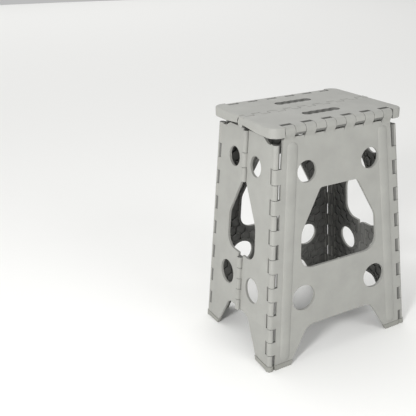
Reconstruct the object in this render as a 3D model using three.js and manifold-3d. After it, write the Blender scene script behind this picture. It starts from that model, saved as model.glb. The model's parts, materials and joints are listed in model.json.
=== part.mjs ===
// Folding step stool in moulded plastic: two leg panels, four side panel halves and a top in two
// halves, joined by knuckle hinges on steel rods. Millimetres, +Z up, +X along the length of the
// top, -Y to the front, origin at the centre of the stool on the floor.
//
// Every upright hinge axis runs through one apex high above the stool, so the tapered box folds
// flat: the sides fold inwards on their mid hinges while the middle of the top lifts.

import * as THREE from 'three';
import { mergeVertices } from 'three/addons/utils/BufferGeometryUtils.js';
import Module from 'manifold-3d';

const wasm = await Module();
wasm.setup();

// ---- driving dimensions ------------------------------------------------------------------------
const stoolHeight = 450;
const topLength = 280;
const topDepth = 212;
const topThickness = 17.8;
const topCornerRadius = 18;
const topSkin = 3.2;
const topRim = 6;
const apexRise = 1526; // apex of the taper above the standing surface
const cornerInset = 17; // end of the top to the corner hinge axis, at hinge height
const legSetback = 4.5; // top hinge axis to the corner hinge axis, at hinge height
const overCentre = THREE.MathUtils.degToRad(1.86); // top and sides rest just past straight

// panels
const legThickness = 5.5;
const legInnerSetback = 0.75; // corner hinge axis to the leg's inner face
const sideThickness = 4.6;
const sideSetback = 0.5; // mid hinge axis to the side's outer face
const sideCornerReach = 5; // corner hinge axis to the side's outer face, half way up
const legTopGap = 1.6; // leg panel's top edge to the top's barrels

// hinges
const topHingeRadius = 9;
const topHingeKnuckles = 11;
const centreHingeRadius = 8;
const centreHingeKnuckles = 16;
const centreEndKnuckle = 9.6;
const centreTipReach = 4; // a knuckle's flush top runs this far past the centre line
const centreNotchGap = 3;
const centreTaperRun = 57; // underside relief either side of the centre hinge
const cornerRadius = 6.25;
const cornerKnuckles = 13; // between the side's lowest and highest knuckle
const cornerLow = 31.5;
const cornerTopDrop = 71.6; // standing surface down to the leg's highest knuckle
const midRadius = 6;
const notchGap = 2; // barrel to the notch it turns in
const knuckleGap = 0.35; // knuckle to where the next one's share begins
const rodRadius = 2;
const sideRodRadius = 1.6;
const rodClearance = 0.3;
const openClearance = 2.2; // centre rod in the rear half's knuckles, where the loop is left open
const rodEnd = 2.5; // plastic left over the end of a rod

// openings: each station is a share of the stool's height, and across is a share of the panel's
// half width there, from its centre line (or mid hinge) to its edge beside the corner hinge
const legWindow = {
  top: { station: 0.739, across: 0.3306, radius: 8 },
  shoulder: { station: 0.57, across: 0.6416, radius: 30 },
  bottom: { station: 0.412, across: 0.6457, radius: 26 },
};
const sideWindow = {
  top: { station: 0.747, across: 0.0552, radius: 8 },
  shoulder: { station: 0.573, across: 0.514, radius: 30 },
  bottom: { station: 0.418, across: 0.5176, radius: 26 },
};
const legHoles = [
  { across: 0.57, station: 0.8144, radius: 19.6 },
  { across: 0.586, station: 0.2876, radius: 24.6 },
];
const sideHoles = [
  { across: 0.429, station: 0.82, radius: 18.7 },
  { across: 0.4655, station: 0.2933, radius: 24 },
];
const legArch = { station: 0.1567, across: 0.5165, radius: 25, slope: 0.595 };
const sideArch = { station: 0.1656, across: 0.3412, radius: 18, slope: 0.59 };
const slot = { length: 79, width: 20, share: 0.425, waves: 4, waveHeight: 0.9, frame: 4 };
const bead = { inset: 20.6, topDrop: 38.6, bottom: 22.4, radius: 10.3, rise: 2.3 };

// feet
const shoeHeight = 9.5;
const shoeProud = 1.3;
const shoeEndProud = 1.2;
const shoeFit = 0.3;
const tongueThickness = 2.4;
const tongueInset = 5;

const barrelSides = 8;
const topBarrelSides = 12;
const beadSides = 8;
const boreSides = 6;
const arcStep = THREE.MathUtils.degToRad(24);
const past = 1; // how far a cutter runs past the face that it cuts

// ---- worked-out frame --------------------------------------------------------------------------
const hingeZ = stoolHeight - topHingeRadius;
const undersideZ = stoolHeight - topThickness;
const hingeY = topDepth / 2 - topHingeRadius;
const centreZ = hingeZ - hingeY * Math.tan(overCentre);
const apex = new THREE.Vector3(0, 0, stoolHeight + apexRise);
const spread = apex.z / (apex.z - hingeZ);
const cornerTopX = topLength / 2 - cornerInset;
const cornerTopY = hingeY - legSetback;
const midTopX = cornerTopX + cornerTopY * Math.tan(overCentre);
const frontLeftFoot = new THREE.Vector3(-cornerTopX * spread, -cornerTopY * spread, 0);
const frontRightFoot = new THREE.Vector3(cornerTopX * spread, -cornerTopY * spread, 0);
const leftMidFoot = new THREE.Vector3(-midTopX * spread, 0, 0);
const rightMidFoot = new THREE.Vector3(midTopX * spread, 0, 0);
const along = (foot, z) => foot.clone().lerp(apex, z / apex.z);

const legOuterY = -legInnerSetback - legThickness;
const bodyTopZ = hingeZ - topHingeRadius - legTopGap;
const sideTopZ = bodyTopZ - 3.4;
const sideCornerTopZ = sideTopZ - 8;
const cornerHigh = stoolHeight - cornerTopDrop;
const cornerShare = (cornerHigh - cornerLow) / cornerKnuckles;
const notch = cornerRadius + notchGap;
const midNotch = midRadius + notchGap;

// ---- solids ------------------------------------------------------------------------------------
function toSolid(geometry) {
  geometry.deleteAttribute('normal');
  geometry.deleteAttribute('uv');
  const merged = mergeVertices(geometry, 1e-4);
  return new wasm.Manifold(new wasm.Mesh({
    numProp: 3,
    vertProperties: new Float32Array(merged.attributes.position.array),
    triVerts: new Uint32Array(merged.index.array),
  }));
}

function toGeometry(solid) {
  const mesh = solid.getMesh();
  const geometry = new THREE.BufferGeometry();
  geometry.setAttribute('position', new THREE.BufferAttribute(mesh.vertProperties, 3));
  geometry.setIndex(new THREE.BufferAttribute(mesh.triVerts, 1));
  geometry.computeVertexNormals();
  return geometry;
}

const join = (solids) => solids.reduce((whole, piece) => whole.add(piece));
const cutAll = (solid, cutters) => cutters.reduce((rest, cutter) => rest.subtract(cutter), solid);

/** Outline from [x, y, radius] points, turned anticlockwise. A fillet takes up to half an edge. */
function rounded(corners) {
  const points = [];
  const count = corners.length;
  corners.forEach(([x, y, radius = 0], i) => {
    const here = new THREE.Vector2(x, y);
    if (radius === 0) {
      points.push(here);
      return;
    }
    const last = corners[(i + count - 1) % count];
    const next = corners[(i + 1) % count];
    const back = new THREE.Vector2(last[0], last[1]).sub(here);
    const ahead = new THREE.Vector2(next[0], next[1]).sub(here);
    const room = Math.min(back.length(), ahead.length()) / 2;
    back.normalize();
    ahead.normalize();
    const half = Math.acos(THREE.MathUtils.clamp(back.dot(ahead), -1, 1)) / 2;
    const fillet = Math.min(radius, room * Math.tan(half));
    const sweep = Math.PI - 2 * half;
    const middle = back.clone().add(ahead).normalize().multiplyScalar(fillet / Math.sin(half)).add(here);
    const start = back.clone().multiplyScalar(fillet / Math.tan(half)).add(here);
    const turn = Math.sign(ahead.cross(back));
    const steps = Math.max(2, Math.round(sweep / arcStep));
    for (let k = 0; k <= steps; k += 1) {
      points.push(start.clone().rotateAround(middle, (turn * sweep * k) / steps));
    }
  });
  return new THREE.Shape(THREE.ShapeUtils.isClockWise(points) ? points.reverse() : points);
}

const circle = (x, y, radius, sides = 16) => new THREE.Path(Array.from({ length: sides }, (_, k) => {
  const angle = (2 * Math.PI * k) / sides;
  return new THREE.Vector2(x + radius * Math.cos(angle), y + radius * Math.sin(angle));
}));

/** Upright plate: the outline lies in x and z, the plate fills yLow to yHigh. */
function plate(shape, yLow, yHigh) {
  const geometry = new THREE.ExtrudeGeometry(shape, { depth: yHigh - yLow, bevelEnabled: false });
  geometry.rotateX(Math.PI / 2);
  geometry.translate(0, yHigh, 0);
  return toSolid(geometry);
}

/** Lying slab: the outline lies in x and y. */
function slab(shape, zLow, zHigh) {
  const geometry = new THREE.ExtrudeGeometry(shape, { depth: zHigh - zLow, bevelEnabled: false });
  geometry.translate(0, 0, zLow);
  return toSolid(geometry);
}

/** Bar along x: the outline lies in y and z. */
function bar(shape, xLow, xHigh) {
  const geometry = new THREE.ExtrudeGeometry(shape, { depth: xHigh - xLow, bevelEnabled: false });
  geometry.rotateX(Math.PI / 2);
  geometry.rotateZ(Math.PI / 2);
  geometry.translate(xLow, 0, 0);
  return toSolid(geometry);
}

function block(low, high) {
  const geometry = new THREE.BoxGeometry(high[0] - low[0], high[1] - low[1], high[2] - low[2]);
  geometry.translate((low[0] + high[0]) / 2, (low[1] + high[1]) / 2, (low[2] + high[2]) / 2);
  return toSolid(geometry);
}

/** Round bar between two points, flats touching the given radius when it is a bore. */
function barrel(from, to, radius, sides = barrelSides) {
  const span = to.clone().sub(from);
  const geometry = new THREE.CylinderGeometry(radius, radius, span.length(), sides);
  geometry.applyQuaternion(new THREE.Quaternion().setFromUnitVectors(
    new THREE.Vector3(0, 1, 0), span.clone().normalize()));
  geometry.translate(...from.clone().add(to).multiplyScalar(0.5).toArray());
  return toSolid(geometry);
}

const boreRadius = (radius) => radius / Math.cos(Math.PI / boreSides);
const into = (frame, point) => point.clone().applyMatrix4(frame.clone().invert());

/** Frame with z up a hinge line or a panel's centre line, and x along the panel. */
function panelFrame(foot, xHint) {
  const z = apex.clone().sub(foot).normalize();
  const x = xHint.clone().addScaledVector(z, -xHint.dot(z)).normalize();
  const y = z.clone().cross(x);
  return new THREE.Matrix4().makeBasis(x, y, z).setPosition(foot);
}

/** What lies under the floor, in a panel's own frame. */
function belowFloor(frame) {
  const reach = 30;
  const ground = new THREE.BoxGeometry(4 * topLength, 4 * topLength, reach);
  ground.translate(0, 0, -reach / 2);
  return toSolid(ground.applyMatrix4(frame.clone().invert()));
}

// ---- leg panel ---------------------------------------------------------------------------------
const legFrame = panelFrame(new THREE.Vector3(0, frontLeftFoot.y, 0), new THREE.Vector3(1, 0, 0));
const legHinge = (side, z) => into(legFrame, along(side < 0 ? frontLeftFoot : frontRightFoot, z));
const legHalfAt = (z) => legHinge(1, z).x - notch;
const legKnuckleHalf = legHalfAt(hingeZ) - 0.6;
const legShare = (2 * legKnuckleHalf) / topHingeKnuckles;
const stationZ = (feature) => feature.station * stoolHeight;
const halfOf = (feature, panelHalfAt) => feature.across * panelHalfAt(stationZ(feature));
const archHalfAt = (arch, panelHalfAt, z) => halfOf(arch, panelHalfAt) + (stationZ(arch) - z) * arch.slope;
const topHingeInLeg = into(legFrame, new THREE.Vector3(0, -hingeY, hingeZ));

function mirroredOutline(half) {
  const other = half.map(([x, z, radius]) => [-x, z, radius]).reverse();
  return rounded([...half, ...other]);
}

function windowOutline(opening, panelHalfAt) {
  return mirroredOutline([opening.top, opening.shoulder, opening.bottom].map((corner) => (
    [halfOf(corner, panelHalfAt), stationZ(corner), corner.radius]
  )));
}

/** Strip of panel from a hinge line back into the panel, between the two ends of a knuckle. */
const tab = (low, high, root) => rounded([
  [low.x, low.z], [high.x, high.z], [high.x + root, high.z], [low.x + root, low.z],
]);

/** Knuckle's share of a hinge, k shares up from its low end. */
const shareRange = (low, share, k) => [low + k * share + knuckleGap, low + (k + 1) * share - knuckleGap];

function legBead(side) {
  const [low, high] = [bead.bottom, stoolHeight - bead.topDrop].map((z) => (
    new THREE.Vector3(side * (legHalfAt(z) - bead.inset), 0, z)
  ));
  const round = new THREE.SphereGeometry(bead.radius, beadSides, beadSides / 2);
  const ends = [low, high].map((point) => toSolid(round.clone().translate(...point.toArray())));
  const body = join([barrel(low, high, bead.radius, beadSides), ...ends]);
  const flat = toGeometry(body).scale(1, bead.rise / bead.radius, 1).translate(0, legOuterY, 0);
  return toSolid(flat);
}

function buildLeg() {
  const outline = mirroredOutline([
    [legKnuckleHalf, bodyTopZ, 2],
    [legHalfAt(cornerHigh), cornerHigh],
    [legHalfAt(shoeHeight + shoeFit), shoeHeight + shoeFit],
    [archHalfAt(legArch, legHalfAt, shoeHeight + shoeFit), shoeHeight + shoeFit],
    [halfOf(legArch, legHalfAt), stationZ(legArch), legArch.radius],
  ]);
  outline.holes.push(new THREE.Path(windowOutline(legWindow, legHalfAt).getPoints()));
  for (const hole of legHoles) {
    for (const side of [-1, 1]) {
      outline.holes.push(circle(side * halfOf(hole, legHalfAt), stationZ(hole), hole.radius));
    }
  }
  const pieces = [plate(outline, legOuterY, -legInnerSetback), legBead(-1), legBead(1)];
  const bores = [];

  for (const side of [-1, 1]) {
    for (let k = 0; k < cornerKnuckles; k += 2) {
      const [low, high] = shareRange(cornerLow, cornerShare, k);
      const ends = [legHinge(side, low), legHinge(side, high)];
      pieces.push(barrel(...ends, cornerRadius));
      pieces.push(plate(tab(...ends, -side * (notch + past)), legOuterY, -legInnerSetback));
    }
    bores.push(barrel(legHinge(side, cornerLow - past), legHinge(side, cornerHigh + past),
      boreRadius(rodRadius + rodClearance), boreSides));
    const tongueX = side * legTongue.middle;
    pieces.push(block(
      [tongueX - legTongue.half, tongueY - tongueThickness / 2, legTongue.low],
      [tongueX + legTongue.half, tongueY + tongueThickness / 2, shoeHeight + past],
    ));
  }

  // knuckles of the top hinge, with a gusset down to the panel
  const { y: axisY, z: axisZ } = topHingeInLeg;
  const axisAt = (x) => new THREE.Vector3(x, axisY, axisZ);
  const gusset = new THREE.Shape([
    new THREE.Vector2(axisY - topHingeRadius, axisZ),
    new THREE.Vector2(axisY - 0.93 * topHingeRadius, axisZ - 4),
    new THREE.Vector2(axisY - 0.6 * topHingeRadius, axisZ - 8.5),
    new THREE.Vector2(legOuterY - 0.9, axisZ - 12.5),
    new THREE.Vector2(legOuterY, axisZ - 17),
    new THREE.Vector2(-legInnerSetback, axisZ - 17),
    new THREE.Vector2(-legInnerSetback, axisZ),
  ]);
  for (let k = 0; k < topHingeKnuckles; k += 2) {
    const [low, high] = shareRange(-legKnuckleHalf, legShare, k);
    pieces.push(bar(gusset, low, high));
    pieces.push(barrel(axisAt(low), axisAt(high), topHingeRadius, topBarrelSides));
  }
  const end = legKnuckleHalf - rodEnd;
  bores.push(barrel(axisAt(-end), axisAt(end), boreRadius(rodRadius + rodClearance), boreSides));
  return cutAll(join(pieces), bores);
}

// ---- shoes under the feet ----------------------------------------------------------------------
const tongueY = (legOuterY - legInnerSetback) / 2;

function shoeSpan(arch, panelHalfAt) {
  const outer = panelHalfAt(0);
  const inner = archHalfAt(arch, panelHalfAt, shoeHeight) - shoeEndProud;
  const half = (outer - inner) / 2 - tongueInset;
  return { inner, outer, middle: (inner + outer) / 2, half, low: 0.4 * shoeHeight };
}

const legTongue = shoeSpan(legArch, legHalfAt);

function socket(span, side, y) {
  const half = span.half + shoeFit;
  return block([side * span.middle - half, y - tongueThickness / 2 - shoeFit, span.low - shoeFit],
    [side * span.middle + half, y + tongueThickness / 2 + shoeFit, shoeHeight + past]);
}

function shoeOutline(span, side, arch, panelHalfAt) {
  const dip = -3 * shoeProud;
  return rounded([
    [side * span.inner, shoeHeight, 1.5],
    [side * (archHalfAt(arch, panelHalfAt, dip) - shoeEndProud), dip],
    [side * span.outer, dip],
    [side * span.outer, shoeHeight, 1.5],
  ]);
}

function buildLegShoe(side) {
  const outline = shoeOutline(legTongue, side, legArch, legHalfAt);
  const body = plate(outline, legOuterY - shoeProud, -legInnerSetback);
  return cutAll(body, [socket(legTongue, side, tongueY), belowFloor(legFrame)]);
}

// ---- side panel halves -------------------------------------------------------------------------
// Both halves of a side are drawn in one frame: x runs from the mid hinge towards the front, so the
// rear half lies at negative x. Heights of the mid hinge's knuckles go by the window between them.
const midHinge = {
  upperLow: (sideWindow.top.station - 0.0137) * stoolHeight,
  upperHigh: sideTopZ - 2.6,
  lowerLow: (sideArch.station - 0.0078) * stoolHeight,
  lowerHigh: (sideWindow.bottom.station - 0.0136) * stoolHeight,
};
const upperStep = 27;
const lowerSteps = 5;
const lowerShare = (midHinge.lowerHigh - midHinge.lowerLow) / lowerSteps;
const midKnuckles = {
  three: [
    [midHinge.upperLow + upperStep, midHinge.upperLow + 2 * upperStep],
    ...[1, 3].map((k) => [midHinge.lowerLow + k * lowerShare, midHinge.lowerLow + (k + 1) * lowerShare]),
  ],
  five: [
    [midHinge.upperLow, midHinge.upperLow + upperStep],
    [midHinge.upperLow + 2 * upperStep, midHinge.upperHigh],
    ...[0, 2, 4].map((k) => [midHinge.lowerLow + k * lowerShare, midHinge.lowerLow + (k + 1) * lowerShare]),
  ],
};

/** One half of the side that stands on the given feet; toFront is 1 for the front half. */
function sideHalf(cornerFoot, midFoot, toFront, knuckles) {
  const inPlane = cornerFoot.clone().sub(midFoot).multiplyScalar(toFront);
  const frame = panelFrame(midFoot, inPlane);
  const outward = Math.sign(into(frame, new THREE.Vector3(2 * midFoot.x, 0, 0)).y);
  const corner = (z) => into(frame, along(cornerFoot, z));
  const mid = (z) => into(frame, along(midFoot, z));
  const cornerX = (z) => Math.abs(corner(z).x);
  const halfAt = (z) => cornerX(z) - notch;
  const middleHeight = stoolHeight / 2;
  const tilt = Math.atan((sideCornerReach + sideSetback) / cornerX(middleHeight));

  /** Turns a plate drawn with its outer face at y = 0 into the panel's lean off the hinge plane. */
  const lean = (shape, thickness = sideThickness, proud = 0) => {
    const yInner = -outward * thickness;
    const yOuter = outward * proud;
    const solid = toGeometry(plate(shape, Math.min(yInner, yOuter), Math.max(yInner, yOuter)));
    solid.rotateZ(toFront * outward * tilt).translate(0, -outward * sideSetback, 0);
    return toSolid(solid);
  };
  const flip = (points) => rounded(points.map(([x, z, radius]) => [toFront * x, z, radius]));

  const footZ = shoeHeight + shoeFit;
  const outline = flip([
    [midNotch, sideTopZ, 2],
    [cornerX(sideTopZ) - 34, sideTopZ, 10],
    [cornerX(sideTopZ) - 20, sideCornerTopZ, 8],
    [halfAt(sideCornerTopZ), sideCornerTopZ],
    [halfAt(footZ), footZ],
    [archHalfAt(sideArch, halfAt, footZ), footZ],
    [halfOf(sideArch, halfAt), stationZ(sideArch), sideArch.radius],
    [midNotch, stationZ(sideArch)],
  ]);
  for (const hole of sideHoles) {
    outline.holes.push(circle(toFront * halfOf(hole, halfAt), stationZ(hole), hole.radius));
  }
  const opening = lean(windowOutline(sideWindow, halfAt), 3 * sideThickness, 3 * sideThickness);
  const pieces = [lean(outline).subtract(opening)];
  const bores = [];

  // corner hinge: the shares that the leg leaves free, and one above and one below them
  const cornerRanges = [
    [footZ, cornerLow - knuckleGap],
    [cornerHigh + knuckleGap, sideCornerTopZ],
  ];
  for (let k = 1; k < cornerKnuckles; k += 2) {
    cornerRanges.push(shareRange(cornerLow, cornerShare, k));
  }
  for (const [low, high] of cornerRanges) {
    const ends = [corner(low), corner(high)];
    pieces.push(barrel(...ends, cornerRadius));
    pieces.push(lean(tab(...ends, -toFront * (notch + past))));
  }
  bores.push(barrel(corner(shoeHeight + rodEnd), corner(sideCornerTopZ - rodEnd),
    boreRadius(rodRadius + rodClearance), boreSides));

  // mid hinge
  for (const [low, high] of knuckles) {
    const ends = [mid(low + knuckleGap), mid(high - knuckleGap)];
    pieces.push(barrel(...ends, midRadius));
    pieces.push(lean(tab(...ends, toFront * (midNotch + past))));
  }
  const midBore = boreRadius(sideRodRadius + rodClearance);
  bores.push(barrel(mid(midHinge.upperLow + rodEnd), mid(midHinge.upperHigh - rodEnd), midBore, boreSides));
  bores.push(barrel(mid(midHinge.lowerLow + rodEnd), mid(midHinge.lowerHigh - rodEnd), midBore, boreSides));

  // foot: a tongue into the shoe, and the shoe round the foot of the hinge
  const span = shoeSpan(sideArch, halfAt);
  const tongueFace = (sideThickness - tongueThickness) / 2;
  const tongueOutline = (grow, top) => flip([
    [span.middle - span.half - grow, span.low - grow], [span.middle + span.half + grow, span.low - grow],
    [span.middle + span.half + grow, top], [span.middle - span.half - grow, top],
  ]);
  pieces.push(lean(tongueOutline(0, shoeHeight + past), sideThickness - tongueFace, -tongueFace));
  const sole = shoeOutline({ inner: span.inner, outer: cornerX(0) }, toFront, sideArch, halfAt);
  const shoe = join([
    lean(sole, sideThickness, shoeProud),
    barrel(corner(-3 * shoeProud), corner(shoeHeight), cornerRadius + shoeProud),
  ]);
  const pocket = lean(tongueOutline(shoeFit, shoeHeight + past), sideThickness - tongueFace + shoeFit,
    shoeFit - tongueFace);
  return {
    frame,
    panel: cutAll(join(pieces), bores),
    shoe: cutAll(shoe, [pocket, belowFloor(frame)]),
  };
}

// ---- half of the top ---------------------------------------------------------------------------
/** Finger slot with a gently waved edge. */
function slotOutline() {
  const half = slot.width / 2;
  const straight = slot.length / 2 - slot.width / 2;
  const stepsPerWave = 4;
  const steps = slot.waves * stepsPerWave;
  const edge = [];
  for (let k = 0; k <= steps; k += 1) {
    const ripple = slot.waveHeight * Math.cos((2 * Math.PI * k) / stepsPerWave);
    edge.push([-straight + (2 * straight * k) / steps, half + ripple - slot.waveHeight]);
  }
  const cap = [60, 30, 0, -30, -60].map((degrees) => {
    const angle = THREE.MathUtils.degToRad(degrees);
    return [straight + half * Math.cos(angle), half * Math.sin(angle)];
  });
  const loop = [...edge, ...cap, ...edge.map(([x, y]) => [-x, -y]), ...cap.map(([x, y]) => [-x, -y])];
  return new THREE.Shape(loop.map(([x, y]) => new THREE.Vector2(x, y + slotY)));
}

const slotY = -topDepth / 2 * slot.share;
const centreShare = (topLength - 2 * centreEndKnuckle) / centreHingeKnuckles;

function centreKnuckleOutline() {
  const points = [
    new THREE.Vector2(-centreHingeRadius - centreNotchGap - past, stoolHeight - centreZ),
    new THREE.Vector2(centreTipReach, stoolHeight - centreZ),
    new THREE.Vector2(0.78 * centreHingeRadius, 0.69 * centreHingeRadius),
  ];
  const taper = Math.atan((centreZ - undersideZ) / centreTaperRun);
  const steps = 8;
  for (let k = 0; k <= steps; k += 1) {
    const angle = -((Math.PI - taper) * k) / steps;
    points.push(new THREE.Vector2(centreHingeRadius * Math.cos(angle), centreHingeRadius * Math.sin(angle)));
  }
  const root = centreHingeRadius + centreNotchGap + past;
  points.push(new THREE.Vector2(-root, -root * Math.tan(taper)));
  return new THREE.Shape(points.map((point) => point.add(new THREE.Vector2(0, centreZ))));
}

function buildTop(centreBore) {
  const halfLength = topLength / 2;
  const slabEnd = -centreTipReach - centreNotchGap;
  const plan = rounded([
    [-halfLength, slabEnd], [-halfLength, -topDepth / 2, topCornerRadius],
    [halfLength, -topDepth / 2, topCornerRadius], [halfLength, slabEnd],
  ]);
  const frontEdge = hingeY - topHingeRadius - notchGap;
  const strip = legKnuckleHalf + knuckleGap + 0.4;
  const cutters = [
    block([-strip, -topDepth, undersideZ - past], [strip, -frontEdge, stoolHeight + past]),
    slab(slotOutline(), undersideZ - past, stoolHeight + past),
  ];

  // pockets under the skin, clear of the slot's frame
  const frameHalf = [slot.length / 2 + slot.frame, slot.width / 2 + slot.frame];
  const frame = block([-frameHalf[0], slotY - frameHalf[1], undersideZ - 2 * past],
    [frameHalf[0], slotY + frameHalf[1], stoolHeight]);
  const pockets = 6;
  const pocketShare = (topLength - 2 * topRim) / pockets;
  const rib = 2.4;
  for (let k = 0; k < pockets; k += 1) {
    const low = -halfLength + topRim + k * pocketShare + rib / 2;
    const pocket = block([low, -frontEdge + topRim, undersideZ - past],
      [low + pocketShare - rib, -centreHingeRadius - centreNotchGap - topRim, stoolHeight - topSkin]);
    cutters.push(pocket.subtract(frame));
  }

  // relief of the underside towards the centre hinge, so that the halves close face to face
  cutters.push(bar(new THREE.Shape([
    new THREE.Vector2(-centreTaperRun, undersideZ),
    new THREE.Vector2(0, centreZ),
    new THREE.Vector2(0, undersideZ - past),
    new THREE.Vector2(-centreTaperRun, undersideZ - past),
  ]), -topLength, topLength));

  // notches for the other half's knuckles
  const own = [];
  const free = [];
  for (let k = 0; k < centreHingeKnuckles; k += 1) {
    const low = -halfLength + centreEndKnuckle + k * centreShare;
    (k % 2 === 1 ? own : free).push([low, low + centreShare]);
  }
  own.push([-halfLength, -halfLength + centreEndKnuckle]);
  free.push([halfLength - centreEndKnuckle, halfLength]);
  const axisAt = (x) => new THREE.Vector3(x, 0, centreZ);
  for (const [low, high] of free) {
    cutters.push(barrel(axisAt(low), axisAt(high), centreHingeRadius + centreNotchGap, topBarrelSides));
  }

  const pieces = [cutAll(slab(plan, undersideZ, stoolHeight), cutters)];
  const outline = centreKnuckleOutline();
  for (const [low, high] of own) {
    const start = low === -halfLength ? low : low + knuckleGap;
    pieces.push(bar(outline, start, high - knuckleGap));
  }

  // knuckles of the front hinge
  const hingeAt = (x) => new THREE.Vector3(x, -hingeY, hingeZ);
  for (let k = 1; k < topHingeKnuckles; k += 2) {
    const [low, high] = shareRange(-legKnuckleHalf, legShare, k);
    pieces.push(barrel(hingeAt(low), hingeAt(high), topHingeRadius, topBarrelSides));
    pieces.push(block([low, -hingeY, undersideZ], [high, -frontEdge + past, stoolHeight]));
  }
  const rodEndX = halfLength - rodEnd;
  const hingeBore = boreRadius(rodRadius + rodClearance);
  const loopBore = boreRadius(rodRadius + centreBore);
  return cutAll(join(pieces), [
    barrel(hingeAt(-legKnuckleHalf), hingeAt(legKnuckleHalf), hingeBore, boreSides),
    barrel(axisAt(-rodEndX), axisAt(rodEndX), loopBore, boreSides),
  ]);
}

// ---- the stool ---------------------------------------------------------------------------------
const plastic = new THREE.MeshStandardMaterial({ color: 0xa9a9a4, roughness: 0.55, metalness: 0 });
const softFoot = new THREE.MeshStandardMaterial({ color: 0x96968f, roughness: 0.8, metalness: 0 });
const steel = new THREE.MeshStandardMaterial({ color: 0x8c8c8c, roughness: 0.35, metalness: 1 });

function place(group, name, geometry, material, frame = new THREE.Matrix4()) {
  const mesh = new THREE.Mesh(geometry, material);
  mesh.name = name;
  mesh.applyMatrix4(frame);
  group.add(mesh);
}

/** Steel rod between two points, kept short of both by the plastic over its ends. */
function rod(from, to, radius) {
  const end = rodEnd + shoeFit;
  const direction = to.clone().sub(from).normalize();
  const span = to.distanceTo(from) - 2 * end;
  const geometry = new THREE.CylinderGeometry(radius, radius, span, boreSides);
  geometry.applyQuaternion(new THREE.Quaternion().setFromUnitVectors(new THREE.Vector3(0, 1, 0), direction));
  geometry.translate(...from.clone().addScaledVector(direction, end + span / 2).toArray());
  return geometry;
}

const legGeometry = toGeometry(buildLeg());
const legShoes = { left: toGeometry(buildLegShoe(-1)), right: toGeometry(buildLegShoe(1)) };
const sideHalves = {
  left: sideHalf(frontLeftFoot, leftMidFoot, 1, midKnuckles.three),
  right: sideHalf(frontRightFoot, rightMidFoot, 1, midKnuckles.five),
};
const topGeometries = {
  front: toGeometry(buildTop(rodClearance)),
  rear: toGeometry(buildTop(openClearance)),
};
const cornerFeet = { left: frontLeftFoot, right: frontRightFoot };

/** Leg, its hinge rods and feet, half of each side and half of the top. */
function buildEnd(end, sideNames) {
  const group = new THREE.Group();
  place(group, `${end}_leg`, legGeometry, plastic, legFrame);
  place(group, `top_${end}`, topGeometries[end], plastic);
  place(group, `top_rod_${end}`, rod(new THREE.Vector3(-legKnuckleHalf, -hingeY, hingeZ),
    new THREE.Vector3(legKnuckleHalf, -hingeY, hingeZ), rodRadius), steel);
  for (const side of ['left', 'right']) {
    const name = sideNames[side];
    const half = sideHalves[side];
    place(group, `${end}_leg_shoe_${name}`, legShoes[side], softFoot, legFrame);
    place(group, `side_${name}_${end}`, toGeometry(half.panel), plastic, half.frame);
    place(group, `side_shoe_${name}_${end}`, toGeometry(half.shoe), softFoot, half.frame);
    place(group, `corner_rod_${end}_${name}`, rod(along(cornerFeet[side], shoeHeight),
      along(cornerFeet[side], sideCornerTopZ), rodRadius), steel);
  }
  return group;
}

const stool = new THREE.Group();
stool.add(buildEnd('front', { left: 'left', right: 'right' }));
const rearEnd = buildEnd('rear', { left: 'right', right: 'left' });
rearEnd.rotation.z = Math.PI;
stool.add(rearEnd);

place(stool, 'centre_rod', rod(new THREE.Vector3(-topLength / 2, 0, centreZ),
  new THREE.Vector3(topLength / 2, 0, centreZ), rodRadius), steel);
for (const [name, foot] of [['left', leftMidFoot], ['right', rightMidFoot]]) {
  place(stool, `side_rod_${name}_upper`, rod(along(foot, midHinge.upperLow), along(foot, midHinge.upperHigh),
    sideRodRadius), steel);
  place(stool, `side_rod_${name}_lower`, rod(along(foot, midHinge.lowerLow), along(foot, midHinge.lowerHigh),
    sideRodRadius), steel);
}

export default stool;
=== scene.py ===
import json
import math

import bmesh
import bpy
from bpy.props import FloatProperty, FloatVectorProperty, PointerProperty
from mathutils import Matrix, Vector


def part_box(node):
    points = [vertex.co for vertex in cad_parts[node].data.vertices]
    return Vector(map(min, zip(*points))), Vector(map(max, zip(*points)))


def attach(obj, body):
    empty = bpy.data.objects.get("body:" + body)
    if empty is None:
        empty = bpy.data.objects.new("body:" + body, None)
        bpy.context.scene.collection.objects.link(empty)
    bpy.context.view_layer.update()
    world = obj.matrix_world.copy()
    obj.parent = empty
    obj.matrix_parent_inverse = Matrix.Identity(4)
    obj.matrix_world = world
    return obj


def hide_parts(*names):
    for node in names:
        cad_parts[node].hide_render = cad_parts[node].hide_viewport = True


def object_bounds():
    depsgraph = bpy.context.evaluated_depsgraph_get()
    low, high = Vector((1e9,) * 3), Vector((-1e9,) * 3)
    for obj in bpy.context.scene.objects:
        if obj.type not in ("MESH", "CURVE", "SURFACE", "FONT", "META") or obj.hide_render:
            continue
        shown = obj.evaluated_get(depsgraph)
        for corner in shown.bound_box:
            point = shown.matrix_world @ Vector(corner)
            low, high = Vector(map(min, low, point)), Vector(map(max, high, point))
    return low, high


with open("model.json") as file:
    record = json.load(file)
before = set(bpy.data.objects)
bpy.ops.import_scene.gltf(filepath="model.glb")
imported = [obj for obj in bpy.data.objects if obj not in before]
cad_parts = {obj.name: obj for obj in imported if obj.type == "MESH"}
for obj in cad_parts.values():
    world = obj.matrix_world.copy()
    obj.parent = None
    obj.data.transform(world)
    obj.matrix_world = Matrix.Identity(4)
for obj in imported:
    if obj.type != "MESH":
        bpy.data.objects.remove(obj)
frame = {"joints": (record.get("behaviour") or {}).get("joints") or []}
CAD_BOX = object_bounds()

bl_info = {
    "name": "Folding Step Stool",
    "version": (1, 0, 0),
    "blender": (4, 5, 0),
    "location": "View3D > Sidebar > Stool",
    "description": "Builds the moulded panels, feet, hinge rods and studio of a folding step stool",
    "category": "Object",
}

MM = 0.001

# ---- the frame, in millimetres ----
JOINTS = {joint["name"]: joint for joint in frame["joints"]}


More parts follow.
